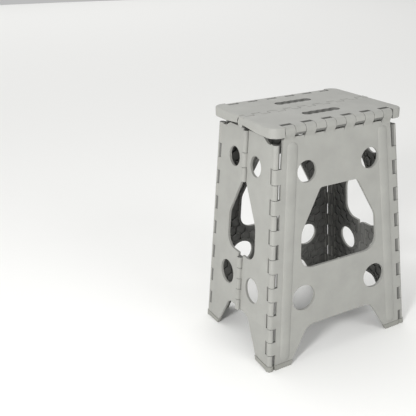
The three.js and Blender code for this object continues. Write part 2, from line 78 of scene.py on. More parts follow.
def joint_point(name):
    return Vector(JOINTS[name]["pos_m"]) / MM


def half_turn(point):
    """A point of the front end, where it lies on the rear end."""
    return Vector((-point.x, -point.y, point.z))


def in_mirror(point):
    return Vector((-point.x, point.y, point.z))


CORNER_FOOT = {"left": joint_point("fold"), "right": joint_point("corner_front_right")}
MID_FOOT = {"left": joint_point("side_mid_left"), "right": in_mirror(joint_point("side_mid_left"))}
TOP_HINGE = joint_point("top_hinge_front")
FOLD_AXIS = Vector(JOINTS["fold"]["axis"])
APEX = CORNER_FOOT["left"] + FOLD_AXIS * (-CORNER_FOOT["left"].x / FOLD_AXIS.x)
APEX.y = 0

STOOL_HEIGHT = CAD_BOX[1].z / MM
TOP_LOW, TOP_HIGH = (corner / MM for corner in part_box("top_front"))
TOP_LENGTH = TOP_HIGH.x - TOP_LOW.x
TOP_DEPTH = -2 * TOP_LOW.y
HINGE_Z = TOP_HINGE.z
TOP_HINGE_RADIUS = STOOL_HEIGHT - HINGE_Z
TOP_THICKNESS = 17.8
UNDERSIDE_Z = STOOL_HEIGHT - TOP_THICKNESS
TOP_CORNER_RADIUS = 18
OVER_CENTRE = math.radians(1.86)
CENTRE_Z = HINGE_Z + TOP_HINGE.y * math.tan(OVER_CENTRE)

# ---- sizes of the mouldings, in millimetres ----
LEG_THICKNESS = 5.5
LEG_INNER = -0.75
LEG_OUTER = LEG_INNER - LEG_THICKNESS
SIDE_THICKNESS = 4.6
SIDE_SETBACK = 0.5
SIDE_CORNER_REACH = 5
CORNER_RADIUS = 6.25
MID_RADIUS = 6
NOTCH_GAP = 2
NOTCH = CORNER_RADIUS + NOTCH_GAP
MID_NOTCH = MID_RADIUS + NOTCH_GAP
KNUCKLE_GAP = 0.35
BODY_TOP_DROP, SIDE_TOP_DROP, CORNER_DROP = 1.6, 3.4, 8
BODY_TOP_Z = HINGE_Z - TOP_HINGE_RADIUS - BODY_TOP_DROP
SIDE_TOP_Z = BODY_TOP_Z - SIDE_TOP_DROP
SIDE_CORNER_TOP_Z = SIDE_TOP_Z - CORNER_DROP
PANEL_FILLET = 2
SHOULDER_UPPER, SHOULDER_LOWER = (34, 10), (20, 8)  # distance in from the corner hinge, fillet
CORNER_LOW = 31.5
CORNER_HIGH = STOOL_HEIGHT - 71.6
CORNER_KNUCKLES = 13
CORNER_SHARE = (CORNER_HIGH - CORNER_LOW) / CORNER_KNUCKLES
TOP_KNUCKLES = 11
CENTRE_RADIUS = 8
CENTRE_KNUCKLES = 16
CENTRE_END = 9.6
CENTRE_TIP = 4
CENTRE_GAP = 3
CENTRE_TAPER_RUN = 57
CENTRE_SHOULDER = ((0.62, 0.9), (0.78, 0.69))  # shares of the knuckle's radius
SLAB_EASE = 0.6
STRIP_GAP = 0.4
SHOE_HEIGHT = 9.5
SHOE_PROUD = 1.3
SHOE_END_PROUD = 1.2
SHOE_FILLET = 1.5
SHOE_DIP = -3 * SHOE_PROUD  # a shoe is made this far below the floor, and then cut level
SOLE_CUT_Z, GROOVE_CUT_Z = -30, -5
FIT = 0.3
OPEN_FIT = 2.2  # room round the centre rod in the rear half, which parts from it a little mid-fold
ROD_RADIUS = 2
SIDE_ROD_RADIUS = 1.6
ROD_END = 2.5
ROD_CHAMFER, ROD_SIDES = 0.4, 24
GUSSET_DROP = 17
MARK_RADIUS, MARK_HALF = 1.6, 2
PAST = 1  # how far a cutting tool reaches beyond what it cuts

# Stations are shares of the stool's height, and across is a share of the panel's half width there.
# Windows are (station, across, fillet) corners, and holes are (station, across, radius). An arch
# is (station, across, fillet, spread out per millimetre down).
LEG_WINDOW = ((0.739, 0.3306, 8), (0.57, 0.6416, 30), (0.412, 0.6457, 26))
SIDE_WINDOW = ((0.747, 0.0552, 8), (0.573, 0.514, 30), (0.418, 0.5176, 26))
LEG_HOLES = ((0.8144, 0.57, 19.6), (0.2876, 0.586, 24.6))
SIDE_HOLES = ((0.82, 0.429, 18.7), (0.2933, 0.4655, 24))
LEG_ARCH = (0.1567, 0.5165, 25, 0.595)
SIDE_ARCH = (0.1656, 0.3412, 18, 0.59)
BEAD_INSET, BEAD_LOW, BEAD_DROP = 20.6, 22.4, 38.6
BEAD_RADIUS, BEAD_RISE, BEAD_CROWN = 10.3, 2.3, 1.3
SLOT_LENGTH, SLOT_WIDTH, SLOT_SHARE, SLOT_FRAME = 79, 20, 0.425, 4
SLOT_WAVES, SLOT_WAVE, WAVE_STEPS = 4, 0.9, 12

# Smoothing and easing of the finished meshes.
WELD, FLAT = 0.01, math.radians(0.6)
EASED_FROM, SHARP_FROM = math.radians(38), math.radians(32)
ARC_STEP = math.radians(9)
LEAST_FILLET, LEAST_MITRE = 0.8, 0.3

# The second slot is the same grey plastic, coloured darker as painted shade for the faces inside
# the stool and in its gaps and slots.
OUTSIDE, PAINTED_SHADE = 0, 1  # a panel's two material slots

# ---- the studio, in metres, watts and degrees ----
FLOOR_RADIUS_MM, FLOOR_DEPTH_MM = 9000, 20
SURROUND_STRENGTH = 0.5
LIGHTS = (  # name, place, size, power
    ("key", (-1.9, -1.2, 1.2), 0.4, 36),
    ("fill", (0.6, -2.3, 1.7), 0.9, 15),
    ("over", (0.0, 4.5, 6.0), 14.0, 420),
)
CAMERA_PLACE = (-0.6683, -0.9642, 0.7233)
CAMERA_YAW, CAMERA_PITCH, CAMERA_ROLL = (math.radians(turn) for turn in (30.576, 23.513, -0.881))
CAMERA_LENS, CAMERA_SHIFT = 55.83, (-0.13, 0.04)


def linear(hex_colour):
    """An sRGB hex colour as linear red, green and blue."""
    channels = (int(hex_colour[i:i + 2], 16) / 255 for i in (1, 3, 5))
    return [c / 12.92 if c <= 0.04045 else ((c + 0.055) / 1.055) ** 2.4 for c in channels]


# ---- what a user would change ----
class StoolSizes(bpy.types.PropertyGroup):
    hex_pitch: FloatProperty(
        name="Honeycomb pitch", description="Flat to flat distance from rib to rib, in mm",
        default=21, min=8, max=60)
    rib_width: FloatProperty(
        name="Rib width", description="Thickness of a honeycomb rib, in mm",
        default=1.7, min=0.6, max=5)
    rim_width: FloatProperty(
        name="Plain rim", description="Unribbed margin round edges and openings, in mm",
        default=5.5, min=1, max=20)
    leg_pocket: FloatProperty(
        name="Leg pocket depth", description="Depth of the pockets between ribs in a leg, in mm",
        default=3, min=0.5, max=4.5)
    side_pocket: FloatProperty(
        name="Side pocket depth", description="Depth of the pockets between ribs in a side, in mm",
        default=2.4, min=0.5, max=3.8)
    top_skin: FloatProperty(
        name="Top skin", description="Plastic left above the pockets of the top, in mm",
        default=3.2, min=1, max=8)
    round_over: FloatProperty(
        name="Top round-over", description="Radius of the top's upper edge, in mm",
        default=3, min=0.5, max=6)
    edge_radius: FloatProperty(
        name="Edge radius", description="Small radius on every moulded edge, in mm",
        default=0.45, min=0.1, max=1)
    tread_pitch: FloatProperty(
        name="Tread pitch", description="Distance from groove to groove under a foot, in mm",
        default=4.7, min=2, max=12)
    tread_width: FloatProperty(
        name="Tread groove", description="Width of a groove under a foot, in mm",
        default=1.6, min=0.5, max=4)
    tread_depth: FloatProperty(
        name="Tread depth", description="Depth of a groove under a foot, in mm",
        default=1.2, min=0.3, max=3)


class StoolColours(bpy.types.PropertyGroup):
    outside: FloatVectorProperty(
        name="Outside", description="Colour of the smooth moulded faces", subtype="COLOR",
        default=linear("#A0A09B"), min=0, max=1)
    # Darker than the outside: painted shade for the inside of the stool, not a second colour of
    # plastic.
    inside: FloatVectorProperty(
        name="Inside", description="Colour of the ribbed inner faces", subtype="COLOR",
        default=linear("#70706D"), min=0, max=1)
    foot: FloatVectorProperty(
        name="Feet", description="Colour of the foot shoes", subtype="COLOR",
        default=linear("#94948E"), min=0, max=1)
    steel: FloatVectorProperty(
        name="Rods", description="Colour of the hinge rods", subtype="COLOR",
        default=linear("#B4B4B2"), min=0, max=1)
    floor: FloatVectorProperty(
        name="Floor", description="Colour of the studio floor", subtype="COLOR",
        default=linear("#F4F4F2"), min=0, max=1)


# ---- materials ----
def add_node(tree, kind, settings=None, links=None):
    """Adds a node, sets its properties and input values, and links its inputs from sockets."""
    node = tree.nodes.new(kind)
    for name, value in (settings or {}).items():
        if isinstance(name, int) or name in node.inputs:
            node.inputs[name].default_value = value
        else:
            setattr(node, name, value)
    for name, socket in (links or {}).items():
        tree.links.new(socket, node.inputs[name])
    return node


def per_metre(size_mm):
    """Noise scale that gives features of a real size."""
    return 1 / (size_mm * MM)


def new_material(name):
    """An empty node tree for a new material, and the piece's own coordinates in it."""
    material = bpy.data.materials.new(name)
    material.use_nodes = True
    tree = material.node_tree
    tree.nodes.clear()
    return tree, add_node(tree, "ShaderNodeTexCoord").outputs["Object"]


def moulded_plastic(name, colour, roughness, grain_mm, grain_height, shade):
    """Injection moulded polypropylene off a spark-eroded tool: matt, with a fine even grain. Flow
    of the melt leaves it faintly cloudy, over a few centimetres, and faintly specked. The grain
    is drawn coarser than the tool's 0.1 mm, so that it shows. Shade is the cloud's darkest tone,
    as a share of the colour."""
    cloud_mm, speck_mm, speck_share = 38, 2.2, 0.25
    tree, place = new_material(name)
    cloud = add_node(tree, "ShaderNodeTexNoise",
                     {"Scale": per_metre(cloud_mm), "Detail": 4.0, "Roughness": 0.55},
                     {"Vector": place})
    speck = add_node(tree, "ShaderNodeTexNoise",
                     {"Scale": per_metre(speck_mm), "Detail": 2.0}, {"Vector": place})
    blend = add_node(tree, "ShaderNodeMath", {"operation": "MULTIPLY_ADD", 1: speck_share},
                     {0: speck.outputs["Fac"], 2: cloud.outputs["Fac"]})
    tone = add_node(tree, "ShaderNodeValToRGB", links={"Fac": blend.outputs["Value"]})
    tone.color_ramp.elements[0].position = 0.4
    tone.color_ramp.elements[0].color = (*(c * shade for c in colour), 1)
    tone.color_ramp.elements[1].position = 0.85
    tone.color_ramp.elements[1].color = (*colour, 1)
    grain = add_node(tree, "ShaderNodeTexNoise",
                     {"Scale": per_metre(grain_mm), "Detail": 3.0, "Roughness": 0.6},
                     {"Vector": place})
    relief = add_node(tree, "ShaderNodeBump", {"Strength": 0.35, "Distance": grain_height * MM},
                      {"Height": grain.outputs["Fac"]})
    gloss = add_node(tree, "ShaderNodeMapRange",
                     {"To Min": roughness - 0.05, "To Max": roughness + 0.07},
                     {"Value": grain.outputs["Fac"]})
    shader = add_node(tree, "ShaderNodeBsdfPrincipled", {"IOR": 1.49}, {
        "Base Color": tone.outputs["Color"],
        "Roughness": gloss.outputs["Result"],
        "Normal": relief.outputs["Normal"],
    })
    add_node(tree, "ShaderNodeOutputMaterial", links={"Surface": shader.outputs["BSDF"]})


def drawn_steel(colour):
    """Steel wire drawn through a die: bright, with fine lines along it that spread its gloss. The
    lines are drawn 0.4 mm apart, coarser than a die's, so that they show."""
    line_mm = 0.4
    tree, place = new_material("drawn_steel_wire")
    lines = add_node(tree, "ShaderNodeTexNoise",
                     {"Scale": per_metre(line_mm), "Detail": 2.0}, {"Vector": place})
    tone = add_node(tree, "ShaderNodeValToRGB", links={"Fac": lines.outputs["Fac"]})
    tone.color_ramp.elements[0].color = (*(c * 0.8 for c in colour), 1)
    tone.color_ramp.elements[1].color = (*colour, 1)
    gloss = add_node(tree, "ShaderNodeMapRange", {"To Min": 0.24, "To Max": 0.4},
                     {"Value": lines.outputs["Fac"]})
    shader = add_node(tree, "ShaderNodeBsdfPrincipled", {"Metallic": 1.0}, {
        "Base Color": tone.outputs["Color"], "Roughness": gloss.outputs["Result"]})
    add_node(tree, "ShaderNodeOutputMaterial", links={"Surface": shader.outputs["BSDF"]})


def painted_floor(colour):
    """Studio floor in rolled matt paint: an even tone with a soft orange-peel 6 mm across."""
    peel_mm = 6
    tree, place = new_material("rolled_matt_paint")
    peel = add_node(tree, "ShaderNodeTexNoise",
                    {"Scale": per_metre(peel_mm), "Detail": 2.0}, {"Vector": place})
    tone = add_node(tree, "ShaderNodeValToRGB", links={"Fac": peel.outputs["Fac"]})
    tone.color_ramp.elements[0].color = (*(c * 0.985 for c in colour), 1)
    tone.color_ramp.elements[1].color = (*colour, 1)
    shader = add_node(tree, "ShaderNodeBsdfPrincipled",
                      {"Roughness": 0.9, "Specular IOR Level": 0.2},
                      {"Base Color": tone.outputs["Color"]})
    add_node(tree, "ShaderNodeOutputMaterial", links={"Surface": shader.outputs["BSDF"]})


def stool_materials(scene):
    """The finishes, made once."""
    if "polypropylene_outside" not in bpy.data.materials:
        colours = scene.stool_colours
        moulded_plastic("polypropylene_outside", colours.outside,
                        roughness=0.52, grain_mm=1.1, grain_height=0.06, shade=0.88)
        # The inner faces' material is rougher, and darker in colour as painted shade.
        moulded_plastic("polypropylene_inside_painted_shade", colours.inside,
                        roughness=0.68, grain_mm=1.6, grain_height=0.12, shade=0.86)
        moulded_plastic("grip_plastic_foot", colours.foot,
                        roughness=0.74, grain_mm=0.9, grain_height=0.1, shade=0.9)
        drawn_steel(colours.steel)
        painted_floor(colours.floor)
    return bpy.data.materials


# ---- outlines ----
def rounded(corners):
    """Outline from (a, b, radius) corners. A fillet takes up to half an edge."""
    points = []
    for i, (a, b, radius) in enumerate(corners):
        here = Vector((a, b))
        if radius == 0:
            points.append(here)
            continue
        back = Vector(corners[i - 1][:2]) - here
        ahead = Vector(corners[(i + 1) % len(corners)][:2]) - here
        room = min(back.length, ahead.length) / 2
        back.normalize()
        ahead.normalize()
        half = math.acos(max(-1, min(1, back.dot(ahead)))) / 2
        fillet = min(radius, room * math.tan(half))
        sweep = math.pi - 2 * half
        middle = here + (back + ahead).normalized() * (fillet / math.sin(half))
        spoke = here + back * (fillet / math.tan(half)) - middle
        turn = math.copysign(1, ahead.x * back.y - ahead.y * back.x)
        steps = max(3, round(sweep / ARC_STEP))
        for k in range(steps + 1):
            points.append(middle + Matrix.Rotation(turn * sweep * k / steps, 2) @ spoke)
    return points


def inset(corners, distance):
    """Moves every edge of a corner list inwards. Convex fillets shrink and hollow ones grow."""
    area = sum(a[0] * b[1] - b[0] * a[1] for a, b in zip(corners, corners[1:] + corners[:1]))
    sense = math.copysign(1, area)
    moved = []
    for i, (a, b, radius) in enumerate(corners):
        here = Vector((a, b))
        into = (here - Vector(corners[i - 1][:2])).normalized()
        out = (Vector(corners[(i + 1) % len(corners)][:2]) - here).normalized()
        normals = [Vector((-edge.y, edge.x)) * sense for edge in (into, out)]
        middle = (normals[0] + normals[1]).normalized()
        shift = middle * (distance / max(LEAST_MITRE, middle.dot(normals[0])))
        convex = (into.x * out.y - into.y * out.x) * sense > 0
        fillet = max(LEAST_FILLET, radius - distance) if convex else radius + distance
        moved.append((here.x + shift.x, here.y + shift.y, fillet))
    return moved


def mirrored(half):
    return list(half) + [(-a, b, radius) for a, b, radius in reversed(half)]


def circle(a, b, radius, sides=56):
    turns = [2 * math.pi * k / sides for k in range(sides)]
    return [Vector((a + radius * math.cos(t), b + radius * math.sin(t))) for t in turns]


# ---- solids, built in millimetres ----
PLANES = {
    "xz": lambda p, d: Vector((p.x, d, p.y)),
    "xy": lambda p, d: Vector((p.x, p.y, d)),
    "yz": lambda p, d: Vector((d, p.x, p.y)),
}


def solid_from_rings(rings, slot=OUTSIDE):
    """Closed mesh through rings of equal count. A ring of one point is a tip."""
    mesh = bmesh.new()
    loops = [[mesh.verts.new(point) for point in ring] for ring in rings]
    for low, high in zip(loops, loops[1:]):
        count = max(len(low), len(high))
        for k in range(count):
            after = (k + 1) % count
            corners = [low[k % len(low)], low[after % len(low)],
                       high[after % len(high)], high[k % len(high)]]
            mesh.faces.new(list(dict.fromkeys(corners)))
    for loop in (loops[0], loops[-1]):
        if len(loop) > 2:
            mesh.faces.new(loop)
    for face in mesh.faces:
        face.material_index = slot
    bmesh.ops.recalc_face_normals(mesh, faces=mesh.faces)
    return mesh


def prism(points, low, high, plane="xz", place=None, slot=OUTSIDE):
    """Straight extrusion of an outline between two depths."""
    place = place or Matrix()
    rings = [[place @ PLANES[plane](p, depth) for p in points] for depth in (low, high)]
    return solid_from_rings(rings, slot)


def lathe(start, end, profile, sides):
    """Turned solid on the line from start to end. The profile is (distance along, radius) pairs."""
    along = (end - start).normalized()
    across = along.orthogonal().normalized()
    other = along.cross(across)
    rings = []
    for distance, radius in profile:
        centre = start + along * distance
        if radius == 0:
            rings.append([centre])
            continue
        turns = [2 * math.pi * k / sides for k in range(sides)]
        rings.append([centre + (across * math.cos(t) + other * math.sin(t)) * radius
                      for t in turns])
    return solid_from_rings(rings)


def barrel(start, end, radius, chamfer=0.35, sides=32):
    """Hinge knuckle with its ends eased, so that it doesn't catch its neighbour."""
    length = (end - start).length
    return lathe(start, end, [(0, radius - chamfer), (chamfer, radius), (length - chamfer, radius),
                              (length, radius - chamfer)], sides)


def bore(start, end, radius):
    return lathe(start, end, [(0, radius), ((end - start).length, radius)], 20)


def merged(parts):
    """Several separate solids in one mesh."""
    whole = bmesh.new()
    for part in parts:
        scratch = bpy.data.meshes.new("scratch")
        part.to_mesh(scratch)
        part.free()
        whole.from_mesh(scratch)
        bpy.data.meshes.remove(scratch)
    return whole


def new_object(name, mesh, materials):
    data = bpy.data.meshes.new(name)
    mesh.to_mesh(data)
    mesh.free()
    for material in materials:
        data.materials.append(material)
    piece = bpy.data.objects.new(name, data)
    bpy.context.scene.collection.objects.link(piece)
    return piece


def worked(base, steps, materials):
    """Joins or cuts a solid by others in turn, and gives the result as a bmesh."""
    body = new_object("work", base, materials)
    tools = []
    for operation, tool in steps:
        tools.append(new_object("tool", tool, materials))
        change = body.modifiers.new("work", "BOOLEAN")
        change.operation = operation
        change.solver = "MANIFOLD"
        change.object = tools[-1]
    bpy.context.view_layer.update()
    result = body.evaluated_get(bpy.context.evaluated_depsgraph_get())
    mesh = bmesh.new()
    mesh.from_mesh(result.to_mesh())
    result.to_mesh_clear()
    for spent in (body, *tools):
        data = spent.data
        bpy.data.objects.remove(spent)
        bpy.data.meshes.remove(data)
    if not mesh.faces:
        raise RuntimeError("a join or cut left nothing")
    return mesh


def hex_field(sizes, low, high, span, plane, place):
    """Pockets between honeycomb ribs, one upright hexagon each, over a rectangle of the panel."""
    pitch = sizes.hex_pitch
    radius = (pitch - sizes.rib_width) / math.sqrt(3)
    row_rise = pitch * math.sqrt(3) / 2
    corners = [math.radians(30 + 60 * k) for k in range(6)]
    cells = []
    (a_low, b_low), (a_high, b_high) = span
    for row in range(math.floor(b_low / row_rise), math.ceil(b_high / row_rise) + 1):
        offset = pitch / 2 if row % 2 else 0
        for column in range(math.floor(a_low / pitch) - 1, math.ceil(a_high / pitch) + 1):
            a, b = column * pitch + offset, row * row_rise
            points = [Vector((a + radius * math.cos(t), b + radius * math.sin(t))) for t in corners]
            cells.append(prism(points, low, high, plane, place, PAINTED_SHADE))
    return merged(cells)


def paint_inner_shade(mesh, inward):
    """Gives the inner material to all that faces into the stool: rougher, and darker in colour as
    painted shade.
    """
    least_turn = 0.3
    for face in mesh.faces:
        if face.normal.dot(inward) > least_turn:
            face.material_index = PAINTED_SHADE
    return mesh


def paint_gap_shade(mesh, point, along, reach, run=STOOL_HEIGHT):
    """Gives the rougher, darker inner material to faces that stand across a hinge line, where they
    are within reach of it. These are the faces in the gaps of its knuckles, and their darker colour
    is painted shade."""
    square_on = 0.9
    for face in mesh.faces:
        away = face.calc_center_median() - point
        travel = away.dot(along)
        if (abs(face.normal.dot(along)) > square_on and abs(travel) < run
                and (away - along * travel).length < reach):
            face.material_index = PAINTED_SHADE


def clean_seams(mesh):
    """Welds the seams of a worked solid, and joins the flat faces that they cut up."""
    bmesh.ops.remove_doubles(mesh, verts=mesh.verts, dist=WELD)
    bmesh.ops.dissolve_degenerate(mesh, edges=mesh.edges, dist=WELD)
    bmesh.ops.dissolve_limit(mesh, angle_limit=FLAT, verts=mesh.verts, edges=mesh.edges,
                             delimit={"MATERIAL"})
    bmesh.ops.recalc_face_normals(mesh, faces=mesh.faces)


def show(name, mesh, body, node, materials, edge_radius=0):
    """Makes a piece that stands for a CAD node and rides on its body. An edge radius gives it
    small moulded edges."""
    clean_seams(mesh)
    mesh.transform(Matrix.Scale(MM, 4))
    piece = new_object(name, mesh, materials)
    if edge_radius:
        easing = piece.modifiers.new("moulded_edges", "BEVEL")
        easing.width = edge_radius * MM
        easing.segments = 2
        easing.limit_method = "ANGLE"
        easing.angle_limit = EASED_FROM
    piece.data.polygons.foreach_set("use_smooth", [True] * len(piece.data.polygons))
    piece.data.set_sharp_from_angle(angle=SHARP_FROM)
    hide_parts(node)
    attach(piece, body)


HALF_TURN = Matrix.Rotation(math.pi, 4, "Z")


def on_rear(mesh):
    """A copy of a front-end mesh, turned round to the rear end."""
    copy = mesh.copy()
    copy.transform(HALF_TURN)
    return copy


# ---- places on the panels ----
def on_line(foot, z):
    """Point at a height on the hinge line from a foot to the apex."""
    return foot.lerp(APEX, z / APEX.z)


def panel_frame(foot, x_hint):
    z = (APEX - foot).normalized()
    x = (x_hint - z * x_hint.dot(z)).normalized()
    y = z.cross(x)
    return Matrix.Translation(foot) @ Matrix((x, y, z)).transposed().to_4x4()


def station_z(feature):
    return feature[0] * STOOL_HEIGHT


def half_of(feature, half_at):
    return feature[1] * half_at(station_z(feature))


def arch_half(arch, half_at, z):
    return half_of(arch, half_at) + (station_z(arch) - z) * arch[3]


def window_corners(window, half_at):
    return mirrored([(half_of(corner, half_at), station_z(corner), corner[2]) for corner in window])


def share_range(low, share, k):
    return low + k * share + KNUCKLE_GAP, low + (k + 1) * share - KNUCKLE_GAP


LEG_FRAME = panel_frame(Vector((0, CORNER_FOOT["left"].y, 0)), Vector((1, 0, 0)))


def leg_hinge(side, z):
    foot = CORNER_FOOT["left" if side < 0 else "right"]
    return LEG_FRAME.inverted() @ on_line(foot, z)


def leg_half(z):
    return leg_hinge(1, z).x - NOTCH


LEG_KNUCKLE_INSET = 0.6
LEG_KNUCKLE_HALF = leg_half(HINGE_Z) - LEG_KNUCKLE_INSET
LEG_SHARE = 2 * LEG_KNUCKLE_HALF / TOP_KNUCKLES


# ---- leg panel ----
def leg_bead(side):
    """Long domed bead that stiffens the leg, faired into the panel all round."""
    low, high = (Vector((side * (leg_half(z) - BEAD_INSET), 0, z))
                 for z in (BEAD_LOW, STOOL_HEIGHT - BEAD_DROP))
    length = (high - low).length
    cap = [math.pi / 2 * k / 8 for k in range(9)]
    profile = [(-BEAD_RADIUS * math.cos(t), BEAD_RADIUS * math.sin(t)) for t in cap]
    profile += [(length + BEAD_RADIUS * math.sin(t), BEAD_RADIUS * math.cos(t)) for t in cap]
    profile[0] = (profile[0][0], 0)
    profile[-1] = (profile[-1][0], 0)
    mesh = lathe(low, high, profile, 40)
    for vert in mesh.verts:
        depth = abs(vert.co.y / BEAD_RADIUS) ** BEAD_CROWN * BEAD_RISE
        vert.co.y = LEG_OUTER + math.copysign(depth, vert.co.y)
    mesh.transform(LEG_FRAME)
    return mesh


def leg_gusset(axis_y, axis_z, low, high):
    """Fairing that runs down from a knuckle of the top hinge into the leg's face."""
    start_y = axis_y - TOP_HINGE_RADIUS
    curve = []
    for k in range(11):
        t = k / 10
        ease = t * t * (3 - 2 * t)
        curve.append(Vector((start_y + (LEG_OUTER - start_y) * ease, axis_z - GUSSET_DROP * t)))
    outline = curve + [Vector((LEG_INNER, axis_z - GUSSET_DROP)), Vector((LEG_INNER, axis_z))]
    return prism(outline, low, high, "yz", LEG_FRAME)


def build_leg(sizes, materials):
    foot_z = SHOE_HEIGHT + FIT
    corners = mirrored([
        (LEG_KNUCKLE_HALF, BODY_TOP_Z, PANEL_FILLET),
        (leg_half(CORNER_HIGH), CORNER_HIGH, 0),
        (leg_half(foot_z), foot_z, 0),
        (arch_half(LEG_ARCH, leg_half, foot_z), foot_z, 0),
        (half_of(LEG_ARCH, leg_half), station_z(LEG_ARCH), LEG_ARCH[2]),
    ])
    window = window_corners(LEG_WINDOW, leg_half)
    holes = [(side * half_of(hole, leg_half), station_z(hole), hole[2])
             for hole in LEG_HOLES for side in (-1, 1)]

    def openings(grow, low, high):
        return merged([prism(rounded(inset(window, -grow)), low, high, "xz", LEG_FRAME)] + [
            prism(circle(x, z, radius + grow), low, high, "xz", LEG_FRAME)
            for x, z, radius in holes])

    plate = prism(rounded(corners), LEG_OUTER, LEG_INNER, "xz", LEG_FRAME)
    panel = worked(plate, [
        ("UNION", leg_bead(-1)),
        ("UNION", leg_bead(1)),
        ("DIFFERENCE", openings(0, LEG_OUTER - PAST - BEAD_RISE, LEG_INNER + PAST)),
    ], materials)

    # honeycomb pockets in the inner face, kept clear of the edges and openings by a plain rim
    floor_y, mouth_y = LEG_INNER - sizes.leg_pocket, LEG_INNER + PAST
    span = ((-leg_half(0), 0), (leg_half(0), BODY_TOP_Z))
    pockets = hex_field(sizes, floor_y, mouth_y, span, "xz", LEG_FRAME)
    inner = prism(rounded(inset(corners, sizes.rim_width)), floor_y - PAST, mouth_y + PAST,
                  "xz", LEG_FRAME)
    field = worked(pockets, [
        ("INTERSECT", inner),
        ("DIFFERENCE", openings(sizes.rim_width, floor_y - 2 * PAST, mouth_y + 2 * PAST)),
    ], materials)

    steps = [("DIFFERENCE", field)]
    for side in (-1, 1):
        for k in range(0, CORNER_KNUCKLES, 2):
            low, high = (leg_hinge(side, z) for z in share_range(CORNER_LOW, CORNER_SHARE, k))
            root = -side * (NOTCH + PAST)
            tab = [Vector((low.x, low.z)), Vector((high.x, high.z)),
                   Vector((high.x + root, high.z)), Vector((low.x + root, low.z))]
            steps.append(("UNION", barrel(LEG_FRAME @ low, LEG_FRAME @ high, CORNER_RADIUS)))
            steps.append(("UNION", prism(tab, LEG_OUTER, LEG_INNER, "xz", LEG_FRAME)))
    axis = LEG_FRAME.inverted() @ TOP_HINGE
    for k in range(0, TOP_KNUCKLES, 2):
        low, high = share_range(-LEG_KNUCKLE_HALF, LEG_SHARE, k)
        steps.append(("UNION", leg_gusset(axis.y, axis.z, low, high)))
        ends = (LEG_FRAME @ Vector((x, axis.y, axis.z)) for x in (low, high))
        steps.append(("UNION", barrel(*ends, TOP_HINGE_RADIUS, sides=40)))

    # moulding mark in the middle of the window's lower edge
    middle = (LEG_OUTER + LEG_INNER) / 2
    ends = (LEG_FRAME @ Vector((0, middle + depth, station_z(LEG_WINDOW[2])))
            for depth in (-MARK_HALF, MARK_HALF))
    steps.append(("UNION", lathe(*ends, [(0, MARK_RADIUS), (2 * MARK_HALF, MARK_RADIUS)], 16)))
    for side in (-1, 1):
        ends = (LEG_FRAME @ leg_hinge(side, z) for z in (CORNER_LOW - PAST, CORNER_HIGH + PAST))
        steps.append(("DIFFERENCE", bore(*ends, ROD_RADIUS + FIT)))
    reach = LEG_KNUCKLE_HALF - ROD_END
    ends = (Vector((x, TOP_HINGE.y, TOP_HINGE.z)) for x in (-reach, reach))
    steps.append(("DIFFERENCE", bore(*ends, ROD_RADIUS + FIT)))
    mesh = paint_inner_shade(worked(panel, steps, materials), LEG_FRAME.col[1].to_3d())
    for foot in CORNER_FOOT.values():
        paint_gap_shade(mesh, foot, (APEX - foot).normalized(), NOTCH)
    paint_gap_shade(mesh, TOP_HINGE, Vector((1, 0, 0)), TOP_HINGE_RADIUS + NOTCH_GAP)
    return mesh


# ---- side panels ----
# The mid hinge's knuckles start and end a little below the window's top, the arch and the window's
# foot, in shares of the stool's height.
WINDOW_TOP_LAP, ARCH_LAP, WINDOW_FOOT_LAP = 0.0137, 0.0078, 0.0136
MID_TOP_DROP = 2.6
MID_UPPER = ((SIDE_WINDOW[0][0] - WINDOW_TOP_LAP) * STOOL_HEIGHT, SIDE_TOP_Z - MID_TOP_DROP)
MID_LOWER = ((SIDE_ARCH[0] - ARCH_LAP) * STOOL_HEIGHT,
             (SIDE_WINDOW[2][0] - WINDOW_FOOT_LAP) * STOOL_HEIGHT)
UPPER_STEP = 27
LOWER_SHARE = (MID_LOWER[1] - MID_LOWER[0]) / 5


def lower_knuckle(k):
    return MID_LOWER[0] + k * LOWER_SHARE, MID_LOWER[0] + (k + 1) * LOWER_SHARE


MID_KNUCKLES = {
    "left": [(MID_UPPER[0] + UPPER_STEP, MID_UPPER[0] + 2 * UPPER_STEP),
             lower_knuckle(1), lower_knuckle(3)],
    "right": [(MID_UPPER[0], MID_UPPER[0] + UPPER_STEP),
              (MID_UPPER[0] + 2 * UPPER_STEP, MID_UPPER[1]),
              lower_knuckle(0), lower_knuckle(2), lower_knuckle(4)],
}


class SideHalf:
    """Front half of one side: its frame, its lean off the hinge plane and its width at a height."""

    def __init__(self, side):
        self.corner_foot = CORNER_FOOT[side]
        self.mid_foot = MID_FOOT[side]
        self.frame = panel_frame(self.mid_foot, self.corner_foot - self.mid_foot)
        outside = self.frame.inverted() @ Vector((2 * self.mid_foot.x, 0, 0))
        self.outward = math.copysign(1, outside.y)
        tilt = math.atan((SIDE_CORNER_REACH + SIDE_SETBACK) / self.corner_x(STOOL_HEIGHT / 2))
        self.lean = (self.frame @ Matrix.Translation((0, -self.outward * SIDE_SETBACK, 0))
                     @ Matrix.Rotation(self.outward * tilt, 4, "Z"))

    def corner_x(self, z):
        return (self.frame.inverted() @ on_line(self.corner_foot, z)).x

    def half_at(self, z):
        return self.corner_x(z) - NOTCH

    def plate(self, points, thickness=SIDE_THICKNESS, proud=0):
        """Plate with its outer face this proud of the panel's."""
        depths = sorted((-self.outward * thickness, self.outward * proud))
        return prism(points, *depths, "xz", self.lean)

    def tab(self, foot, low, high, root):
        low, high = (self.frame.inverted() @ on_line(foot, z) for z in (low, high))
        return self.plate([Vector((low.x, low.z)), Vector((high.x, high.z)),
                           Vector((high.x + root, high.z)), Vector((low.x + root, low.z))])


